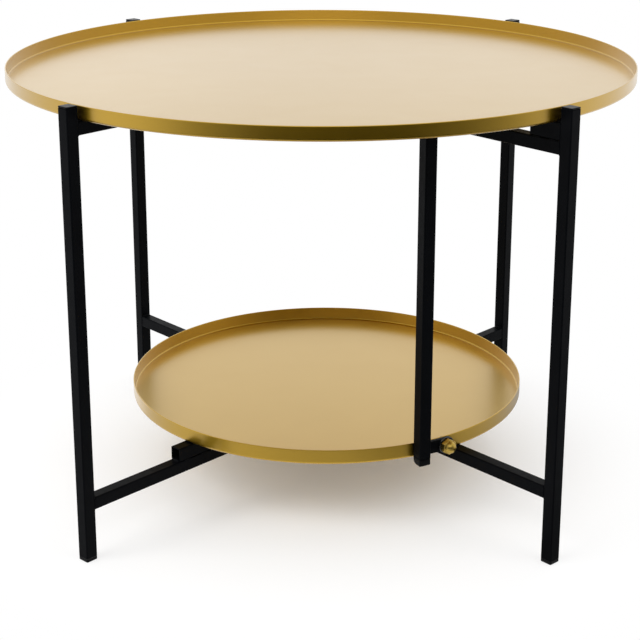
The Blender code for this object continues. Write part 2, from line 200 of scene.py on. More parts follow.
# Weld beads
FLAT_REACH = TUBE / 2 - TUBE_CORNER
FILLET = 0.0022
REST_FILLET = FILLET * 0.8
LUG_FILLET = FILLET * 0.7
SEAM = 0.0011
SEAM_INSET = 0.0007
SEAM_END = 0.001
REST_SEAM_INSET = 0.0008
STITCH_PLACE = 0.27
STITCH_HALF = 0.004
LUG_SEAM_END = 0.0005
WELD_PITCH = 0.0017
WELD_PITCH_STEPS = 5
WELD_LEAST_STEPS = 8
WELD_ACROSS = 7
WELD_SINK = 0.0002
WELD_RIPPLE = 0.07
WELD_WOBBLE = 0.04
WELD_WOBBLE_START = 2.3
WELD_WOBBLE_RATE = 910.0
WELD_TIP = 0.18
WELD_FULLNESS = 0.80

# Clouds, smears and grain of the finishes
NOISE_LOW = 0.3
NOISE_HIGH = 0.7
CLOUD_DETAIL = 3.0
SMEAR_SCALE = 3.1
SMEAR_DETAIL = 4.0
SMEAR_DISTORTION = 0.4
GRAIN_DETAIL = 2.0

X, Y, Z = Vector((1, 0, 0)), Vector((0, 1, 0)), Vector((0, 0, 1))
ALONG_X = Matrix.Rotation(math.radians(90.0), 4, "Y")
ALONG_Y = Matrix.Rotation(math.radians(-90.0), 4, "X")
FLIP = Matrix.Rotation(math.pi, 4, "X")
OUTER = Matrix.Rotation(OUTER_ANGLE, 4, "Z")
INNER = Matrix.Rotation(INNER_ANGLE, 4, "Z")
LOWER_TRAY_CENTER = Matrix.Translation((LOWER_TRAY_SHIFT_X, LOWER_TRAY_SHIFT_Y, 0.0))
STAY = LOWER_TRAY_CENTER @ Matrix.Rotation(STAY_ANGLE, 4, "Z")


def shift(x, y, z):
    """Give the matrix of a move."""
    return Matrix.Translation((x, y, z))


def add_object(name, data):
    """Add an object with its data to the scene."""
    obj = bpy.data.objects.new(name, data)
    bpy.context.scene.collection.objects.link(obj)
    return obj


def link(nodes, source, target):
    """Join two sockets of one node tree."""
    nodes.id_data.links.new(source, target)


def add_node(nodes, kind, **values):
    """Add a shader node and set the inputs named by its values."""
    node = nodes.new(kind)
    for name, value in values.items():
        node.inputs[name].default_value = value
    return node


def noise(nodes, coordinates, scale, detail, distortion=0.0):
    """Add a noise texture on the object's own coordinates and return its value socket."""
    node = add_node(nodes, "ShaderNodeTexNoise", Scale=scale, Detail=detail, Distortion=distortion)
    link(nodes, coordinates, node.inputs["Vector"])
    return node.outputs["Fac"]


def spread(nodes, value, low, high):
    """Map the middle of a noise value to a range."""
    node = nodes.new("ShaderNodeMapRange")
    ends = (("From Min", NOISE_LOW), ("From Max", NOISE_HIGH), ("To Min", low), ("To Max", high))
    for name, number in ends:
        node.inputs[name].default_value = number
    link(nodes, value, node.inputs["Value"])
    return node.outputs["Result"]


def two_tones(nodes, value, dark, light):
    """Mix two colours by a noise value."""
    node = nodes.new("ShaderNodeValToRGB")
    stops = node.color_ramp.elements
    for stop, position, tone in zip(stops, (NOISE_LOW, NOISE_HIGH), (dark, light)):
        stop.position = position
        stop.color = (*tone, 1.0)
    link(nodes, value, node.inputs["Fac"])
    return node.outputs["Color"]


def finish_material(
    name, tones, roughness, metallic, cloud_scale, grain_scale, grain_depth, grain_strength, **constants
):
    """Make a coated or plated finish: cloudy colour and gloss, and a fine grain in its surface."""
    material = bpy.data.materials.new(name)
    material.use_nodes = True
    nodes = material.node_tree.nodes
    shader = nodes["Principled BSDF"]
    shader.inputs["Metallic"].default_value = metallic
    for socket, value in constants.items():
        shader.inputs[socket.replace("_", " ")].default_value = value
    coordinates = nodes.new("ShaderNodeTexCoord").outputs["Object"]
    cloud = noise(nodes, coordinates, cloud_scale, CLOUD_DETAIL)
    link(nodes, two_tones(nodes, cloud, *tones), shader.inputs["Base Color"])
    smear = noise(nodes, coordinates, cloud_scale * SMEAR_SCALE, SMEAR_DETAIL, SMEAR_DISTORTION)
    link(nodes, spread(nodes, smear, *roughness), shader.inputs["Roughness"])
    bump = add_node(nodes, "ShaderNodeBump", Strength=grain_strength, Distance=grain_depth)
    link(nodes, noise(nodes, coordinates, grain_scale, GRAIN_DETAIL), bump.inputs["Height"])
    link(nodes, bump.outputs["Normal"], shader.inputs["Normal"])
    return material


FINISHES = {
    "gold_tray_finish": finish_material(
        "gold_tray_finish",
        tones=((0.524, 0.313, 0.010), (0.536, 0.322, 0.013)),
        roughness=(0.325, 0.345),
        metallic=1.0,
        cloud_scale=7.0,
        grain_scale=2600.0,
        grain_depth=0.00001,
        grain_strength=0.04,
        Coat_Weight=1.0,
        Coat_Roughness=0.22,
        Coat_IOR=1.5,
    ),
    "black_powder_coat": finish_material(
        "black_powder_coat",
        tones=((0.0013, 0.0016, 0.0023), (0.0019, 0.0023, 0.0031)),
        roughness=(0.40, 0.50),
        metallic=0.0,
        cloud_scale=45.0,
        grain_scale=2600.0,
        grain_depth=0.00004,
        grain_strength=0.25,
        Specular_IOR_Level=0.04,
    ),
    "black_plastic": finish_material(
        "black_plastic",
        tones=((0.0012, 0.0014, 0.0018), (0.0018, 0.0020, 0.0025)),
        roughness=(0.28, 0.36),
        metallic=0.0,
        cloud_scale=60.0,
        grain_scale=3200.0,
        grain_depth=0.00004,
        grain_strength=0.25,
        Specular_IOR_Level=0.08,
    ),
    "brass": finish_material(
        "brass",
        tones=((0.47, 0.32, 0.060), (0.55, 0.38, 0.090)),
        roughness=(0.32, 0.38),
        metallic=1.0,
        cloud_scale=160.0,
        grain_scale=2400.0,
        grain_depth=0.00002,
        grain_strength=0.10,
    ),
    # Zinc plate darkened by painted shade: its tones are far darker than bare zinc plate, and stand in for
    # the dark surroundings that the stay washer reflects.
    "zinc_plated_steel": finish_material(
        "zinc_plated_steel",
        tones=((0.060, 0.062, 0.066), (0.085, 0.086, 0.088)),
        roughness=(0.22, 0.32),
        metallic=1.0,
        cloud_scale=150.0,
        grain_scale=2600.0,
        grain_depth=0.00002,
        grain_strength=0.15,
    ),
}


def make_object(name, bm, place):
    """Turn a bmesh into an object of the scene, at its place."""
    bmesh.ops.transform(bm, matrix=place, verts=bm.verts)
    bmesh.ops.recalc_face_normals(bm, faces=bm.faces)
    mesh = bpy.data.meshes.new(name)
    bm.to_mesh(mesh)
    bm.free()
    return add_object(name, mesh)


def smooth(mesh):
    """Shade a mesh smooth between its sharp edges."""
    mesh.shade_smooth()
    mesh.set_sharp_from_angle(angle=SHARP_ANGLE)


def add_piece(name, bm, place, body, slot, *nodes):
    """Turn a bmesh into a piece that rides on a body and stands for the CAD nodes named."""
    obj = make_object(name, bm, place)
    obj.data.materials.append(FINISHES[slot])
    smooth(obj.data)
    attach(obj, body)
    if nodes:
        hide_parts(*nodes)
    return obj


def cut(obj, bm, place, operation="DIFFERENCE"):
    """Cut a closed shape out of a piece, or join it on."""
    shape = make_object("cutter", bm, place)
    modifier = obj.modifiers.new("cut", "BOOLEAN")
    modifier.operation = operation
    modifier.solver = "EXACT"
    modifier.object = shape
    bpy.context.view_layer.update()
    evaluated = obj.evaluated_get(bpy.context.evaluated_depsgraph_get())
    result = bpy.data.meshes.new_from_object(evaluated)
    obj.modifiers.clear()
    obj.data = result
    smooth(result)
    bpy.data.objects.remove(shape, do_unlink=True)


def skin(loops, closed=False):
    """Make a surface through loops of points. A loop of one point is a pole, and open ends are capped."""
    bm = bmesh.new()
    rings = [[bm.verts.new(point) for point in loop] for loop in loops]
    pairs = list(zip(rings, rings[1:]))
    if closed:
        pairs.append((rings[-1], rings[0]))
    for a, b in pairs:
        count = max(len(a), len(b))
        for i in range(count):
            j = (i + 1) % count
            corners = [a[i % len(a)], a[j % len(a)], b[j % len(b)], b[i % len(b)]]
            bm.faces.new(list(dict.fromkeys(corners)))
    if not closed:
        for ring in (rings[0], rings[-1]):
            if len(ring) > 2:
                bm.faces.new(ring)
    return bm


def circle(radius, z, steps=ROUND_STEPS):
    """List the points of a level circle, or its centre alone where the radius is nothing."""
    if radius < POLE_RADIUS:
        return [Vector((0.0, 0.0, z))]
    turns = [math.tau * i / steps for i in range(steps)]
    return [Vector((radius * math.cos(a), radius * math.sin(a), z)) for a in turns]


def lathe(points, steps=ROUND_STEPS, closed=False):
    """Turn an outline of radius and height round the Z axis."""
    return skin([circle(radius, z, steps) for radius, z in points], closed)


def arc(center, radius, start, end, steps=ARC_STEPS):
    """List the points of an arc from one angle to another, in degrees."""
    points = []
    for i in range(steps + 1):
        angle = math.radians(start + (end - start) * i / steps)
        points.append((center[0] + radius * math.cos(angle), center[1] + radius * math.sin(angle)))
    return points


def rounded_rectangle(width, height, corner, z):
    """List the points of a level rounded rectangle, with spare points that keep its sides flat."""
    points = []
    half_width = width / 2 - corner
    half_height = height / 2 - corner
    for index, (sx, sy) in enumerate(((1, 1), (-1, 1), (-1, -1), (1, -1))):
        center = (sx * half_width, sy * half_height)
        bend = arc(center, corner, 90.0 * index, 90.0 * index + 90.0, CORNER_STEPS)
        along_x = (-SUPPORT * sx, 0.0)
        along_y = (0.0, -SUPPORT * sy)
        before, after = (along_y, along_x) if index % 2 == 0 else (along_x, along_y)
        points.append((bend[0][0] + before[0], bend[0][1] + before[1]))
        points += bend
        points.append((bend[-1][0] + after[0], bend[-1][1] + after[1]))
    return [Vector((x, y, z)) for x, y in points]


def square_skin(outline, width, height, corner, closed=False):
    """Sweep an outline of inset and height round a rounded rectangle."""
    loops = []
    for inset, z in outline:
        radius = max(corner - inset, BORE_CORNER)
        loops.append(rounded_rectangle(width - 2 * inset, height - 2 * inset, radius, z))
    return skin(loops, closed)


def tube(length, width=TUBE):
    """Make an open tube along Z, centred on its origin, with the saw's edge broken."""
    half = length / 2
    edge = TUBE_END_ROUND
    lip = [
        (TUBE_WALL, half - edge - SUPPORT),
        (TUBE_WALL, half - edge),
        (TUBE_WALL - edge, half),
        (edge, half),
        (0.0, half - edge),
        (0.0, half - edge - SUPPORT),
    ]
    outline = lip + [(inset, -z) for inset, z in reversed(lip)]
    return square_skin(outline, width, TUBE, TUBE_CORNER, closed=True)


def stem_outline():
    """List the insets and heights of a plug's ribbed stem, from its root up."""
    valley = STEM_INSET + RIB_DEPTH
    outline = []
    for rib in RIB_PLACES:
        outline += [(valley, rib - RIB_HALF_WIDTH), (STEM_INSET, rib), (valley, rib + RIB_HALF_WIDTH)]
    return outline + [(valley, STEM_LENGTH - STEM_TIP_LENGTH), (STEM_INSET + STEM_TIP_INSET, STEM_LENGTH)]


def plug(head_height):
    """Make a tube plug: a rounded head below the origin and a ribbed stem above it."""
    bend = arc((0.0, PLUG_ROUND - head_height), PLUG_ROUND, -90.0, 0.0)
    outline = [(PLUG_ROUND + PLUG_FLAT_INSET, -head_height)]
    outline += [(PLUG_ROUND - x, z) for x, z in bend]
    outline += [(0.0, -PLUG_SEAT_EDGE), (PLUG_SEAT_EDGE, 0.0), (STEM_INSET + RIB_DEPTH, 0.0)]
    return square_skin(outline + stem_outline(), TUBE, TUBE, PLUG_CORNER)


def nosed_head(head_height, nose):
    """Make the head of a plug below the origin, whose lower -X edge is a round nose."""
    half = TUBE / 2
    outline = [(half, 0.0), (half, -head_height)]
    outline += arc((nose - half, nose - head_height), nose, 270.0, 180.0, STAY_NOSE_STEPS)
    outline.append((-half, 0.0))
    bm = bmesh.new()
    profile = bm.faces.new([bm.verts.new((x, -half, z)) for x, z in outline])
    swept = bmesh.ops.extrude_face_region(bm, geom=[profile])["geom"]
    far_points = [item for item in swept if isinstance(item, bmesh.types.BMVert)]
    bmesh.ops.translate(bm, vec=(0.0, TUBE, 0.0), verts=far_points)
    bmesh.ops.recalc_face_normals(bm, faces=bm.faces)
    seat = max(bm.faces, key=lambda face: face.calc_center_median().z)
    edges = [e for e in bm.edges if seat not in e.link_faces and e.calc_face_angle() > SHARP_ANGLE]
    bmesh.ops.bevel(
        bm, geom=edges, offset=PLUG_CORNER, segments=PLUG_CORNER_STEPS, profile=0.5, affect="EDGES"
    )
    return bm


def corner_radius(flats):
    """Give how far the corners of a hexagon lie from its centre."""
    return flats / 2 / math.cos(math.radians(30.0))


def hexagon(flats, limit, z):
    """List the points of a level hexagon with a corner on the X axis, kept inside a circle."""
    points = []
    for i in range(ROUND_STEPS):
        angle = math.tau * i / ROUND_STEPS
        to_flat = math.fmod(angle, math.radians(60.0)) - math.radians(30.0)
        radius = min(flats / 2 / math.cos(to_flat), limit)
        points.append(Vector((radius * math.cos(angle), radius * math.sin(angle), z)))
    return points


def chamfered_hexagon(flats, bottom, top, bottom_face, top_face):
    """List the loops of a hexagonal bar whose ends are turned down to round faces."""
    widest = corner_radius(flats)
    slope = math.tan(HEX_CHAMFER)
    loops = []
    steps = [i / HEX_CHAMFER_STEPS for i in range(HEX_CHAMFER_STEPS + 1)]
    for step in steps:
        limit = bottom_face + (widest - bottom_face) * step
        loops.append(hexagon(flats, limit, bottom + (limit - bottom_face) * slope))
    for step in reversed(steps):
        limit = top_face + (widest - top_face) * step
        loops.append(hexagon(flats, limit, top - (limit - top_face) * slope))
    return loops


def socket_cutter(flats, depth):
    """Make the shape that sinks a hexagon socket below the origin."""
    widest = corner_radius(flats)
    loops = [hexagon(flats, widest, SOCKET_OVERRUN), hexagon(flats, widest, -depth)]
    loops.append(circle(0.0, -depth - flats * SOCKET_POINT))
    return skin(loops)


def nut(flats, height, bore):
    """Make a plain hexagonal nut that stands on its origin."""
    face = flats / 2 * NUT_FACE
    loops = [circle(bore, height - NUT_BORE_EDGE), circle(bore, NUT_BORE_EDGE)]
    loops.append(circle(bore + NUT_BORE_EDGE, 0.0))
    loops += chamfered_hexagon(flats, 0.0, height, face, face)
    loops.append(circle(bore + NUT_BORE_EDGE, height))
    return skin(loops, closed=True)


def cap_nut(bore):
    """Make a domed hexagonal nut that stands on its origin."""
    half = CAP_NUT_FLATS / 2
    top = CAP_NUT_HEX_HEIGHT
    dome = CAP_NUT_DOME_RADIUS
    loops = [circle(0.0, CAP_NUT_BORE_DEPTH), circle(bore, CAP_NUT_BORE_DEPTH - CAP_NUT_BORE_POINT)]
    loops += [circle(bore, CAP_NUT_BORE_EDGE), circle(bore + CAP_NUT_BORE_EDGE, 0.0)]
    loops += chamfered_hexagon(
        CAP_NUT_FLATS, 0.0, top, half * CAP_NUT_BOTTOM_FACE, half * CAP_NUT_TOP_FACE
    )
    loops += [circle(dome + CAP_NUT_FOOT_WIDTH, top), circle(dome, top + CAP_NUT_FOOT_HEIGHT)]
    bend = arc((0.0, CAP_NUT_HEIGHT - dome), dome, 0.0, 90.0, CAP_NUT_DOME_STEPS)
    loops += [circle(radius, z) for radius, z in bend]
    return skin(loops)


def washer(outer, inner, thickness):
    """Make a washer that stands on its origin, with its pressed edges rounded."""
    edge = thickness * WASHER_EDGE
    points = []
    for center, start in (((outer - edge, edge), -90.0), ((outer - edge, thickness - edge), 0.0)):
        points += arc(center, edge, start, start + 90.0, WASHER_EDGE_STEPS)
    points += [(inner + edge / 2, thickness), (inner, thickness - edge / 2)]
    points += [(inner, edge / 2), (inner + edge / 2, 0.0)]
    return lathe(points, closed=True)


def thread(radius, start, pitch, turns, depth):
    """List the outline of a thread from a height on, downwards where the pitch is negative."""
    points = [(radius, start)]
    for i in range(turns):
        z = start + i * pitch
        points += [(radius - depth * inset, z + pitch * part) for inset, part in THREAD_TURN]
    return points


def countersunk_bolt(length):
    """Make a countersunk bolt that hangs from its origin, with a thread at its end."""
    shank = PIVOT_BOLT_RADIUS
    points = [(0.0, 0.0)]
    points += [(PIVOT_HEAD_RADIUS + step, z) for step, z in PIVOT_HEAD_EDGE]
    points.append((shank + PIVOT_NECK_WIDTH, -PIVOT_HEAD_HEIGHT))
    points.append((shank, -PIVOT_HEAD_HEIGHT - PIVOT_NECK_LENGTH))
    start = -length + PIVOT_THREAD_LENGTH
    points += thread(shank, start, -PIVOT_THREAD_PITCH, PIVOT_THREAD_TURNS, PIVOT_THREAD_DEPTH)
    points += [(shank - PIVOT_TIP_INSET, -length), (0.0, -length)]
    return lathe(points)


def button_bolt(length):
    """Make a low button-headed bolt: the head below the origin and the shank above it."""
    head = STAY_HEAD_RADIUS
    shank = STAY_BOLT_RADIUS
    points = [(head * part, -STAY_HEAD_HEIGHT * rise) for part, rise in STAY_HEAD_OUTLINE]
    points += [(head, -STAY_HEAD_EDGE), (head - STAY_HEAD_EDGE, 0.0)]
    points += [(shank + STAY_NECK_ROUND, 0.0), (shank, STAY_NECK_ROUND)]
    turns = int((length - STAY_THREAD_END - STAY_THREAD_START) / STAY_THREAD_PITCH)
    points += thread(shank, STAY_THREAD_START, STAY_THREAD_PITCH, turns, STAY_THREAD_DEPTH)
    points += [(shank - STAY_TIP_INSET, length), (0.0, length)]
    return lathe(points)


def tray(radius, rim_height):
    """Make a round tray of bent sheet that stands on its origin, with a rounded lip."""
    bend_center = (radius - TRAY_BEND_RADIUS, TRAY_BEND_RADIUS)
    lip = TRAY_SHEET / 2
    inside = radius - TRAY_SHEET
    wall_bottom = TRAY_BEND_RADIUS + SUPPORT
    wall_top = rim_height - lip - SUPPORT
    floor = [radius * part for part in TRAY_FLOOR_PARTS]
    floor.append(radius - TRAY_BEND_RADIUS - TRAY_FLOOR_MARGIN)
    points = [(r, TRAY_SHEET) for r in floor]
    points += arc(bend_center, TRAY_BEND_RADIUS - TRAY_SHEET, -90.0, 0.0)
    points += [(inside, wall_bottom), (inside, wall_top)]
    points += arc((radius - lip, rim_height - lip), lip, 180.0, 0.0, TRAY_LIP_STEPS)
    points += [(radius, wall_top), (radius, wall_bottom)]
    points += arc(bend_center, TRAY_BEND_RADIUS, 0.0, -90.0)
    points += [(r, 0.0) for r in reversed(floor)]
    return lathe(points, TRAY_STEPS)


def lug_plate(length):
    """Make the flat lug from its inner face and its foot at the post, with a rounded tip."""
    tip = LUG_TIP_ROUND
    half = LUG_HEIGHT / 2
    middle = LUG_EDGE_ROUND * LUG_EDGE_MIDDLE
    near = [(LUG_EDGE_ROUND, 0.0), (middle, middle), (0.0, LUG_EDGE_ROUND)]
    far = [(inset, LUG_THICKNESS - x) for inset, x in reversed(near)]
    loops = []
    for inset, x in near + far:
        outline = [(0.0, -half + inset)]
        outline += arc((length - tip, -half + tip), tip - inset, -90.0, 0.0, LUG_TIP_STEPS)
        outline += arc((length - tip, half - tip), tip - inset, 0.0, 90.0, LUG_TIP_STEPS)
        outline.append((0.0, half - inset))
        loops.append([Vector((x, y, z)) for y, z in outline])
    return skin(loops)


def add_bead(bm, start, end, first, second, size):
    """Add a rippled weld bead along an edge, between two faces that run off in two directions."""
    start, end = Vector(start), Vector(end)
    run = (end - start).length
    count = max(WELD_LEAST_STEPS, round(run / WELD_PITCH * WELD_PITCH_STEPS))
    loops = []
    for i in range(count + 1):
        part = i / count
        near_end = min(part, 1.0 - part) * run / size
        taper = math.sqrt(max(0.0, 1.0 - (1.0 - min(near_end, 1.0)) ** 2))
        ripple = WELD_RIPPLE * math.cos(math.tau * part * run / WELD_PITCH)
        wobble = WELD_WOBBLE * math.sin(WELD_WOBBLE_START + part * run * WELD_WOBBLE_RATE)
        reach = size * (1.0 + ripple + wobble) * (WELD_TIP + (1.0 - WELD_TIP) * taper)
        middle = start.lerp(end, part)
        loop = [middle - WELD_SINK * (first + second)]
        for k in range(WELD_ACROSS):
            angle = math.radians(90.0) * k / (WELD_ACROSS - 1)
            fullness = WELD_FULLNESS + (1.0 - WELD_FULLNESS) * abs(math.cos(2 * angle))
            u = reach * math.cos(angle) * fullness
            v = reach * math.sin(angle) * fullness
            sink_u = WELD_SINK if k == WELD_ACROSS - 1 else 0.0
            sink_v = WELD_SINK if k == 0 else 0.0
            loop.append(middle + first * (u - sink_u) + second * (v - sink_v))
        loops.append(loop)
    bead = skin(loops)
    mesh = bpy.data.meshes.new("bead")
    bead.to_mesh(mesh)
    bead.free()
    bm.from_mesh(mesh)
    bpy.data.meshes.remove(mesh)


def add_weld(name, beads, place, body):
    """Make the weld beads of one joint as one piece."""
    bm = bmesh.new()
    for bead in beads:
        add_bead(bm, *bead)
    return add_piece(name, bm, place, body, "black_powder_coat")


def rail_end_beads(direction, bottom, top):
    """List the beads that hold a rail, or a stack of rail and rest, to a leg."""
    face = direction * (LEG_RADIUS - TUBE / 2)
    inward = -direction * X
    beads = []
    for z, up in ((bottom, -Z), (top, Z)):
        beads.append(((face, -FLAT_REACH, z), (face, FLAT_REACH, z), inward, up, FILLET))
    for side in (1, -1):
        y = side * (TUBE / 2 - SEAM_INSET)
        ends = ((face, y, bottom + SEAM_END), (face, y, top - SEAM_END))
        for along in (inward, -inward):
            beads.append((*ends, along, side * Y, SEAM))
    return beads


def add_frame(side, place, body, lower_bottom, upper_bottom):
    """Make one frame's legs, plugs, rails and welds, and return its rails."""
    levels = (("lower", lower_bottom, lower_bottom + TUBE), ("upper", upper_bottom, UPPER_SEAT))
    for end, direction in (("front", 1), ("back", -1)):
        name = f"{side}_{end}"
        at = place @ shift(direction * LEG_RADIUS, 0.0, 0.0)
        at_leg = at @ shift(0.0, 0.0, (LEG_BOTTOM + LEG_TOP) / 2)
        at_foot = at @ shift(0.0, 0.0, FOOT_HEIGHT)
        at_cap = at @ shift(0.0, 0.0, TABLE_TOP - CAP_HEIGHT) @ FLIP
        leg = tube(LEG_TOP - LEG_BOTTOM)
        add_piece(f"{name}_leg_tube", leg, at_leg, body, "black_powder_coat", f"{name}_leg")
        add_piece(f"{name}_foot_plug", plug(FOOT_HEIGHT), at_foot, body, "black_plastic", f"{name}_foot")
        add_piece(f"{name}_cap_plug", plug(CAP_HEIGHT), at_cap, body, "black_plastic", f"{name}_cap")
        for level, bottom, top in levels:
            add_weld(f"{name}_{level}_weld", rail_end_beads(direction, bottom, top), place, body)
    rails = []
    for level, bottom, _ in levels:
        rail = f"{side}_{level}_rail"
        at = place @ shift(0.0, 0.0, bottom + TUBE / 2) @ ALONG_X
        rails.append(add_piece(f"{rail}_tube", tube(RAIL_LENGTH), at, body, "black_powder_coat", rail))
    return rails


def add_rests(side, place, body, length, outer_end, rail_top, seat, at_leg):
    """Make the short tubes on a rail, and the beads that hold them."""
    height = seat - rail_top - FIT_GAP
    for end, direction in (("front", 1), ("back", -1)):
        middle = direction * (outer_end - length / 2)
        at = place @ shift(middle, 0.0, seat - height / 2) @ ALONG_X
        rest = f"{side}_{end}_rest"
        add_piece(f"{rest}_tube", tube(length, height), at, body, "black_powder_coat", rest)
        beads = []
        for tip in ((-direction,) if at_leg else (-1, 1)):
            x = middle + tip * length / 2
            ends = ((x, -FLAT_REACH, rail_top), (x, FLAT_REACH, rail_top))
            beads.append((*ends, tip * X, Z, REST_FILLET))
        for across in (1, -1):
            y = across * (TUBE / 2 - REST_SEAM_INSET)
            for part in (-STITCH_PLACE, STITCH_PLACE):
                x = middle + part * length
                ends = ((x - STITCH_HALF, y, rail_top), (x + STITCH_HALF, y, rail_top))
                for up in (Z, -Z):
                    beads.append((*ends, across * Y, up, SEAM))
        add_weld(f"{rest}_weld", beads, place, body)


def add_pivot(level, place, body, top, upper_tube_bottom, lower_tube_top, rails):
    """Make the bolt, spacer, washer and nut where two rails cross, and drill the rails."""
    name = f"{level}_pivot"
    hole = PIVOT_BOLT_RADIUS + FIT_GAP
    head = PIVOT_HEAD_RADIUS + FIT_GAP
    washer_bottom = lower_tube_top - TUBE - FIT_GAP - PIVOT_WASHER_THICKNESS
    nut_bottom = washer_bottom - FIT_GAP - PIVOT_NUT_HEIGHT
    length = top - nut_bottom + PIVOT_BOLT_END
    at = place @ shift(0.0, 0.0, top)
    at_spacer = place @ shift(0.0, 0.0, lower_tube_top + FIT_GAP)
    at_washer = place @ shift(0.0, 0.0, washer_bottom)
    at_nut = place @ shift(0.0, 0.0, nut_bottom)
    turned = countersunk_bolt(length)
    bolt = add_piece(f"{name}_bolt_turned", turned, at, body, "zinc_plated_steel", f"{name}_bolt")
    cut(bolt, socket_cutter(PIVOT_SOCKET_FLATS, PIVOT_SOCKET_DEPTH), at)
    drill = [(0.0, HOLE_OVERRUN), (head, HOLE_OVERRUN), (head, 0.0)]
    drill += [(hole, -PIVOT_HEAD_HEIGHT), (hole, -length), (0.0, -length)]
    for rail in rails:
        cut(rail, lathe(drill), at)
    spacer = washer(PIVOT_SPACER_RADIUS, hole, upper_tube_bottom - lower_tube_top - 2 * FIT_GAP)
    add_piece(f"{name}_spacer_ring", spacer, at_spacer, body, "black_plastic", f"{name}_spacer")
    ring = washer(PIVOT_WASHER_RADIUS, hole, PIVOT_WASHER_THICKNESS)
    add_piece(f"{name}_washer_ring", ring, at_washer, body, "zinc_plated_steel", f"{name}_washer")
    plain_nut = nut(PIVOT_NUT_FLATS, PIVOT_NUT_HEIGHT, hole)
    add_piece(f"{name}_nut_hexagon", plain_nut, at_nut, body, "zinc_plated_steel", f"{name}_nut")


def arm_span():
    """Give where the stay's arm starts and ends, along the lower rim's tangent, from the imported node."""
    inverse = STAY.inverted()
    span = [(inverse @ vertex.co).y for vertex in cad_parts["stay_upper_arm"].data.vertices]
    return min(span), max(span)


def on_stay_bolt(x):
    """Give the matrix of a place on the stay bolt's axis, with Z outwards along it."""
    return STAY @ shift(x, STAY_BOLT_OFFSET, STAY_BOLT_HEIGHT) @ ALONG_X


def add_stay_tubes():
    """Make the stay's post with the plug in its lower end, and its upper arm."""
    post_bottom = STAY_POST_BOTTOM + STAY_PLUG_HEIGHT + FIT_GAP
    post_top = STAY_ARM_BOTTOM + TUBE
    at_post = STAY @ shift(STAY_POST_X, -STAY_POST_OFFSET, 0.0)
    at_middle = at_post @ shift(0.0, 0.0, (post_bottom + post_top) / 2)
    post = tube(post_top - post_bottom)
    add_piece("stay_post_tube", post, at_middle, STAY_BODY, "black_powder_coat", "stay_post")

    at_plug = at_post @ shift(0.0, 0.0, STAY_POST_BOTTOM + STAY_PLUG_HEIGHT)
    head = nosed_head(STAY_PLUG_HEIGHT, STAY_PLUG_NOSE)
    end_plug = add_piece("stay_post_end_plug", head, at_plug, STAY_BODY, "black_plastic", "stay_post_plug")
    stem = [(STEM_INSET + RIB_DEPTH, -STEM_ROOT)] + stem_outline()
    cut(end_plug, square_skin(stem, TUBE, TUBE, PLUG_CORNER), at_plug, "UNION")

    low, high = arm_span()
    at_arm = STAY @ shift(STAY_POST_X, (low + high) / 2, STAY_ARM_BOTTOM + TUBE / 2) @ ALONG_Y
    arm = tube(high - low)
    add_piece("stay_upper_arm_tube", arm, at_arm, STAY_BODY, "black_powder_coat", "stay_upper_arm")


def add_stay_bolt(lower_tray):
    """Make the lug and the bolt that holds it to the lower rim, and drill both."""
    at_lug = STAY @ shift(STAY_FACE, STAY_SIDE, STAY_BOLT_HEIGHT)
    plate = lug_plate(LUG_REACH - STAY_SIDE)
    lug = add_piece("stay_lug_plate", plate, at_lug, STAY_BODY, "black_powder_coat", "stay_lug")
    hole = STAY_BOLT_RADIUS + FIT_GAP
    head_edge = STAY_BOLT_OFFSET + STAY_HEAD_RADIUS
    head_seat = math.sqrt((LOWER_TRAY_RADIUS - TRAY_SHEET) ** 2 - head_edge ** 2) - FIT_GAP
    washer_seat = STAY_FACE + LUG_THICKNESS + FIT_GAP
    nut_seat = washer_seat + STAY_WASHER_THICKNESS + FIT_GAP
    length = nut_seat + CAP_NUT_BORE_DEPTH - FIT_GAP - head_seat - STAY_BOLT_END
    at_head = on_stay_bolt(head_seat)
    at_socket = on_stay_bolt(head_seat - STAY_HEAD_HEIGHT) @ FLIP

    drill = [(0.0, -HOLE_OVERRUN), (hole, -HOLE_OVERRUN), (hole, STAY_HOLE_DEPTH), (0.0, STAY_HOLE_DEPTH)]
    for obj in (lug, lower_tray):
        cut(obj, lathe(drill), at_head)
    turned = button_bolt(length)
    bolt = add_piece("stay_bolt_turned", turned, at_head, STAY_BODY, "zinc_plated_steel", "stay_bolt")
    cut(bolt, socket_cutter(STAY_SOCKET_FLATS, STAY_SOCKET_DEPTH), at_socket)
    ring = washer(STAY_WASHER_RADIUS, hole, STAY_WASHER_THICKNESS)
    at_washer = on_stay_bolt(washer_seat)
    add_piece("stay_washer_ring", ring, at_washer, STAY_BODY, "zinc_plated_steel", "stay_washer")
    at_nut = on_stay_bolt(nut_seat)
    add_piece("stay_cap_nut_domed", cap_nut(hole), at_nut, STAY_BODY, "brass", "stay_cap_nut")


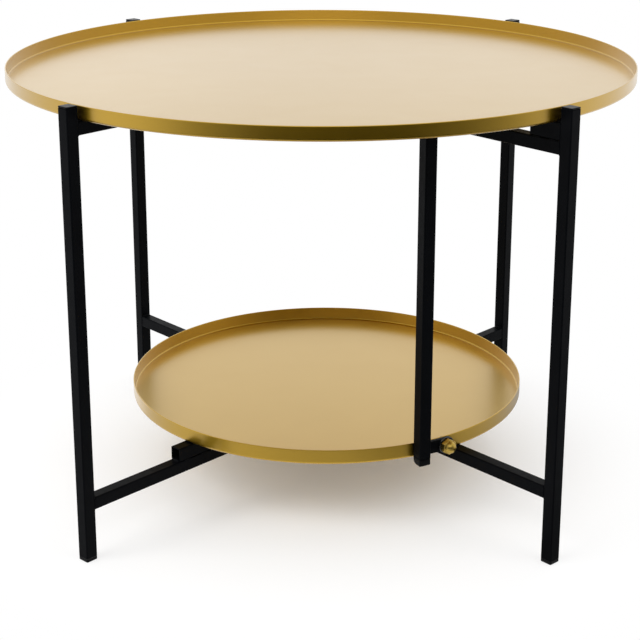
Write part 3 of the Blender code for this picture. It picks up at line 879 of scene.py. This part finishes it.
def add_stay_welds():
    """Make the beads that hold the lug and the arm to the post."""
    lug_face = STAY_FACE + LUG_THICKNESS
    lug_low = STAY_BOLT_HEIGHT - LUG_HEIGHT / 2
    lug_high = STAY_BOLT_HEIGHT + LUG_HEIGHT / 2
    ends = ((lug_face, STAY_SIDE, lug_low + LUG_SEAM_END), (lug_face, STAY_SIDE, lug_high - LUG_SEAM_END))
    beads = [(*ends, X, Y, FILLET)]
    for z, up in ((lug_low, -Z), (lug_high, Z)):
        ends = ((STAY_FACE + SEAM_END, STAY_SIDE, z), (lug_face, STAY_SIDE, z))
        beads.append((*ends, up, Y, LUG_FILLET))
    add_weld("stay_lug_weld", beads, STAY, STAY_BODY)

    low, high = STAY_ARM_BOTTOM, STAY_ARM_BOTTOM + TUBE
    ends = ((STAY_POST_X - FLAT_REACH, STAY_SIDE, low), (STAY_POST_X + FLAT_REACH, STAY_SIDE, low))
    beads = [(*ends, -Z, Y, FILLET)]
    for side in (1, -1):
        x = STAY_POST_X + side * (TUBE / 2 - SEAM_INSET)
        ends = ((x, STAY_SIDE, low + SEAM_END), (x, STAY_SIDE, high - SEAM_END))
        for along in (Y, -Y):
            beads.append((*ends, side * X, along, SEAM))
    add_weld("stay_arm_weld", beads, STAY, STAY_BODY)


def add_table():
    """Make all pieces of the table."""
    add_piece(
        "upper_tray_pressed",
        tray(UPPER_TRAY_RADIUS, UPPER_RIM_HEIGHT),
        shift(0.0, 0.0, UPPER_TRAY_BOTTOM),
        "upper_tray",
        "gold_tray_finish",
        "upper_tray",
    )
    lower_tray = add_piece(
        "lower_tray_pressed",
        tray(LOWER_TRAY_RADIUS, LOWER_RIM_HEIGHT),
        LOWER_TRAY_CENTER @ shift(0.0, 0.0, LOWER_TRAY_BOTTOM),
        "inner_frame",
        "gold_tray_finish",
        "lower_tray",
    )
    outer = ("outer", OUTER, "outer_frame")
    inner = ("inner", INNER, "inner_frame")
    outer_lower, outer_upper = add_frame(*outer, OUTER_LOWER_BOTTOM, OUTER_UPPER_BOTTOM)
    inner_lower, inner_upper = add_frame(*inner, INNER_LOWER_BOTTOM, INNER_UPPER_BOTTOM)
    add_rests(*outer, LOWER_REST_LENGTH, LOWER_REST_END, OUTER_LOWER_TOP, LOWER_SEAT, at_leg=False)
    add_rests(*inner, UPPER_REST_LENGTH, RAIL_LENGTH / 2, INNER_UPPER_TOP, UPPER_SEAT, at_leg=True)
    pivot = (OUTER, "outer_frame")
    upper_rails = (outer_upper, inner_upper)
    lower_rails = (inner_lower, outer_lower)
    add_pivot("upper", *pivot, UPPER_SEAT, OUTER_UPPER_BOTTOM, INNER_UPPER_TOP, upper_rails)
    add_pivot("lower", *pivot, LOWER_SEAT, INNER_LOWER_BOTTOM, OUTER_LOWER_TOP, lower_rails)
    add_stay_tubes()
    add_stay_bolt(lower_tray)
    add_stay_welds()


# Studio
FLOOR_SIZE = 12.0
FLOOR_DROP = 0.0004
FLOOR_COLOR = (0.88, 0.88, 0.88)
FLOOR_GLOW = 0.13
FLOOR_FADE = (0.08, 0.42)
WORLD_FILL = 0.55
WHITE = (1.0, 1.0, 1.0, 1.0)

# Each card shows only in reflections, and its shades are painted reflections. Each card: rows of radius
# and height, angles of its two ends, places and shades from left to right
CARD_COLUMNS = 41
# Front card: a sheet before the table and on the floor in front of it, whose shades paint the reflections
# in the rims and front faces: dark in the middle, near white at its ends.
FRONT_CARD_ROWS = ((0.62, 0.003), (1.0, 0.003), (1.0, 0.50))
FRONT_CARD_ANGLES = (math.radians(-150.0), math.radians(-8.0))
FRONT_CARD_SHADES = (
    (0.0, 0.95),
    (0.19, 0.28),
    (0.33, 0.05),
    (0.45, 0.012),
    (0.68, 0.012),
    (0.82, 0.12),
    (0.91, 0.32),
    (1.0, 0.9),
)
# Floor card: painted shadow of the shaded floor near the front of the table, as the lower rim reflects it,
# darkest a little right of the middle.
FLOOR_SHADOW_CARD_ROWS = ((0.27, 0.003), (0.62, 0.003))
FLOOR_SHADOW_CARD_ANGLES = (math.radians(-190.0), math.radians(40.0))
FLOOR_SHADOW_CARD_SHADES = ((0.0, 0.95), (0.25, 0.84), (0.5, 0.62), (0.68, 0.34), (0.82, 0.6), (1.0, 0.95))
# Back card: a painted bright reflection behind the table, up to one and a half times white, which the tray
# floors reflect; brightest at its left end.
BACK_CARD_ROWS = ((2.6, 0.45), (2.6, 1.0))
BACK_CARD_ANGLES = (math.radians(125.0), math.radians(55.0))
BACK_CARD_SHADES = ((0.0, 1.0), (0.25, 0.87), (0.5, 0.74), (0.75, 0.78), (1.0, 0.85))
BACK_CARD_STRENGTH = 1.5

# Each softbox: name, place, size, power, whether reflections show it
SOFTBOX_TARGET = (0.0, 0.0, 0.2)
SOFTBOXES = (
    ("left_softbox", (-1.9, -1.3, 1.8), 1.8, 44.0, False),
    ("right_softbox", (1.9, -1.3, 1.8), 1.8, 20.0, False),
    ("front_softbox", (0.0, -2.7, 1.7), 2.4, 6.0, True),
    ("top_softbox", (0.0, 0.5, 2.6), 2.4, 38.0, False),
)

# The focal length and the centre are in pixels of the photograph, the pitch is in radians
IMAGE_SIZE = 640.0
SENSOR_WIDTH = 36.0
CAMERA_PLACE = (-0.0048, -1.5250, 0.6959)
CAMERA_FOCAL = 1597.0
CAMERA_CENTER = 316.0
CAMERA_PITCH = 0.2963
CAMERA_SHIFT = -0.12


def math_node(nodes, operation, first, second):
    """Add a maths node on one socket and a socket or a number, and return its result."""
    node = nodes.new("ShaderNodeMath")
    node.operation = operation
    link(nodes, first, node.inputs[0])
    if isinstance(second, float):
        node.inputs[1].default_value = second
    else:
        link(nodes, second, node.inputs[1])
    return node.outputs[0]


def mix_shaders(nodes, factor, first, second):
    """Mix two shaders by a factor from 0 to 1."""
    node = nodes.new("ShaderNodeMixShader")
    link(nodes, factor, node.inputs["Fac"])
    link(nodes, first.outputs[0], node.inputs[1])
    link(nodes, second.outputs[0], node.inputs[2])
    return node


def seen_rays(nodes):
    """Give 1 where a camera, glossy or transmission ray looks, and 0 elsewhere."""
    path = nodes.new("ShaderNodeLightPath")
    total = path.outputs["Is Camera Ray"]
    for name in ("Is Glossy Ray", "Is Transmission Ray"):
        total = math_node(nodes, "MAXIMUM", total, path.outputs[name])
    return total


def set_world():
    """Light the scene evenly, and show plain white where a ray sees the background."""
    world = bpy.data.worlds.new("studio")
    world.use_nodes = True
    bpy.context.scene.world = world
    nodes = world.node_tree.nodes
    nodes.clear()
    fill = add_node(nodes, "ShaderNodeBackground", Color=WHITE, Strength=WORLD_FILL)
    plain = add_node(nodes, "ShaderNodeBackground", Color=WHITE, Strength=1.0)
    mixed = mix_shaders(nodes, seen_rays(nodes), fill, plain)
    output = nodes.new("ShaderNodeOutputWorld")
    link(nodes, mixed.outputs[0], output.inputs["Surface"])


def blank_material(name):
    """Make a material without nodes, and return it with its tree's nodes."""
    material = bpy.data.materials.new(name)
    material.use_nodes = True
    nodes = material.node_tree.nodes
    nodes.clear()
    return material, nodes


def far_from_table(nodes):
    """Give 0 on the floor near the table, rising to 1 further out."""
    place = nodes.new("ShaderNodeNewGeometry").outputs["Position"]
    distance = nodes.new("ShaderNodeVectorMath")
    distance.operation = "LENGTH"
    link(nodes, place, distance.inputs[0])
    fade = nodes.new("ShaderNodeMapRange")
    fade.interpolation_type = "SMOOTHSTEP"
    fade.inputs["From Min"].default_value = FLOOR_FADE[0]
    fade.inputs["From Max"].default_value = FLOOR_FADE[1]
    link(nodes, distance.outputs["Value"], fade.inputs["Value"])
    return fade.outputs["Result"]


def floor_material():
    """Make a white floor that keeps shadows near the table and joins the white background further out."""
    material, nodes = blank_material("studio_floor")
    seen = seen_rays(nodes)
    matte = add_node(nodes, "ShaderNodeBsdfDiffuse", Color=(*FLOOR_COLOR, 1.0))
    glow = nodes.new("ShaderNodeEmission")
    link(nodes, math_node(nodes, "MULTIPLY", seen, FLOOR_GLOW), glow.inputs["Strength"])
    near = nodes.new("ShaderNodeAddShader")
    link(nodes, matte.outputs[0], near.inputs[0])
    link(nodes, glow.outputs[0], near.inputs[1])
    white = nodes.new("ShaderNodeEmission")
    far = math_node(nodes, "MULTIPLY", seen, far_from_table(nodes))
    mixed = mix_shaders(nodes, far, near, white)
    output = nodes.new("ShaderNodeOutputMaterial")
    link(nodes, mixed.outputs[0], output.inputs["Surface"])
    return material


def add_floor():
    """Add the floor."""
    mesh = bpy.data.meshes.new("floor")
    half = FLOOR_SIZE / 2
    corners = [(x * half, y * half, -FLOOR_DROP) for x, y in ((-1, -1), (1, -1), (1, 1), (-1, 1))]
    mesh.from_pydata(corners, [], [(0, 1, 2, 3)])
    mesh.materials.append(floor_material())
    floor = add_object("floor", mesh)


def card_material(name, shades, strength):
    """Make a card whose shade changes from its left end to its right."""
    material, nodes = blank_material(name)
    across = nodes.new("ShaderNodeSeparateXYZ")
    link(nodes, nodes.new("ShaderNodeTexCoord").outputs["Generated"], across.inputs[0])
    ramp = nodes.new("ShaderNodeValToRGB")
    ramp.color_ramp.interpolation = "EASE"
    stops = ramp.color_ramp.elements
    while len(stops) < len(shades):
        stops.new(1.0)
    for stop, (position, shade) in zip(stops, shades):
        stop.position = position
        stop.color = (shade, shade, shade, 1.0)
    link(nodes, across.outputs["X"], ramp.inputs["Fac"])
    glow = add_node(nodes, "ShaderNodeEmission", Strength=strength)
    link(nodes, ramp.outputs["Color"], glow.inputs["Color"])
    output = nodes.new("ShaderNodeOutputMaterial")
    link(nodes, glow.outputs[0], output.inputs["Surface"])
    return material


def add_card(name, rows, angles, shades, strength=1.0):
    """Add a curved card before or behind the table, which only reflections show: its shades are painted
    reflections.
    """
    start, end = angles
    points = []
    for radius, z in rows:
        for i in range(CARD_COLUMNS):
            angle = start + (end - start) * i / (CARD_COLUMNS - 1)
            points.append((radius * math.cos(angle), radius * math.sin(angle), z))
    faces = []
    for row in range(len(rows) - 1):
        for i in range(row * CARD_COLUMNS, (row + 1) * CARD_COLUMNS - 1):
            faces.append((i, i + 1, CARD_COLUMNS + i + 1, CARD_COLUMNS + i))
    mesh = bpy.data.meshes.new(name)
    mesh.from_pydata(points, [], faces)
    mesh.materials.append(card_material(name, shades, strength))
    card = add_object(name, mesh)
    card.visible_camera = False
    card.visible_diffuse = False
    card.visible_shadow = False


def add_softbox(name, place, size, power, reflected):
    """Add a square soft light that points at the table, and say whether reflections show it."""
    data = bpy.data.lights.new(name, "AREA")
    data.shape = "SQUARE"
    data.size = size
    data.energy = power
    lamp = add_object(name, data)
    lamp.location = place
    lamp.rotation_euler = (Vector(SOFTBOX_TARGET) - Vector(place)).to_track_quat("-Z", "Y").to_euler()
    lamp.visible_glossy = reflected


def add_camera():
    """Add the camera near the photograph's viewpoint, tilted down at the table."""
    data = bpy.data.cameras.new("camera")
    data.sensor_width = SENSOR_WIDTH
    data.lens = SENSOR_WIDTH * CAMERA_FOCAL / IMAGE_SIZE
    data.shift_x = (IMAGE_SIZE / 2 - CAMERA_CENTER) / IMAGE_SIZE
    data.shift_y = CAMERA_SHIFT
    camera = add_object("camera", data)
    camera.location = CAMERA_PLACE
    camera.rotation_euler = (math.radians(90.0) - CAMERA_PITCH, 0.0, 0.0)
    bpy.context.scene.camera = camera


add_table()
set_world()
add_floor()
add_card("front_card", FRONT_CARD_ROWS, FRONT_CARD_ANGLES, FRONT_CARD_SHADES)
add_card("floor_shadow_card", FLOOR_SHADOW_CARD_ROWS, FLOOR_SHADOW_CARD_ANGLES, FLOOR_SHADOW_CARD_SHADES)
add_card("back_card", BACK_CARD_ROWS, BACK_CARD_ANGLES, BACK_CARD_SHADES, BACK_CARD_STRENGTH)
for softbox in SOFTBOXES:
    add_softbox(*softbox)
add_camera()
bpy.context.scene.view_settings.view_transform = "Standard"
